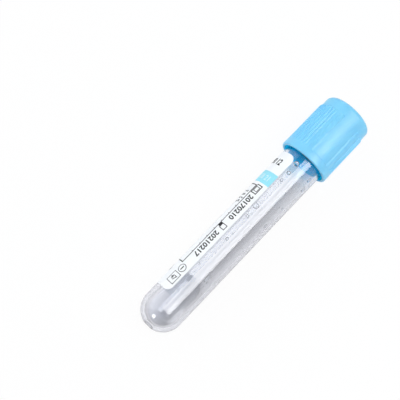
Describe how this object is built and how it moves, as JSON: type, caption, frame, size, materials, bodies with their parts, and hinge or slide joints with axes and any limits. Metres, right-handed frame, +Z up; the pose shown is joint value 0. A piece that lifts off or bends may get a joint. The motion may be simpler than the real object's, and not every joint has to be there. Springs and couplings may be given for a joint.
{
  "type": "blood collection tube",
  "caption": "Clear round-bottomed tube lying on its side, with a paper label and a little liquid, closed by a rubber stopper inside a light blue ribbed cap that pulls off along the tube.",
  "frame": {"origin": "the middle of the footprint box on the surface that the tube lies on", "axes": "+Z up; +X along the tube, from its round end towards the cap; the tube's own axis rises 1.66 degrees towards the cap, because it lies on the rim of the wider cap"},
  "size_m": [0.086, 0.0164, 0.0168],
  "materials": {
    "clear_pet": "clear moulded PET, polished",
    "cap_plastic": "light blue moulded plastic, satin, slightly translucent",
    "stopper_rubber": "blue-grey rubber, matt",
    "label_paper": "white coated paper with a light blue band and black ruled print",
    "citrate_liquid": "clear watery liquid"
  },
  "bodies": {
    "tube": {"tube": "clear_pet", "label": "label_paper", "citrate": "citrate_liquid"},
    "closure": {"cap": "cap_plastic", "stopper": "stopper_rubber"}
  },
  "joints": [
    {"name": "closure_pull", "type": "slide", "parent": "tube", "child": "closure", "axis": [0.9996, 0, 0.0289], "range_m": [0, 0.025]}
  ]
}
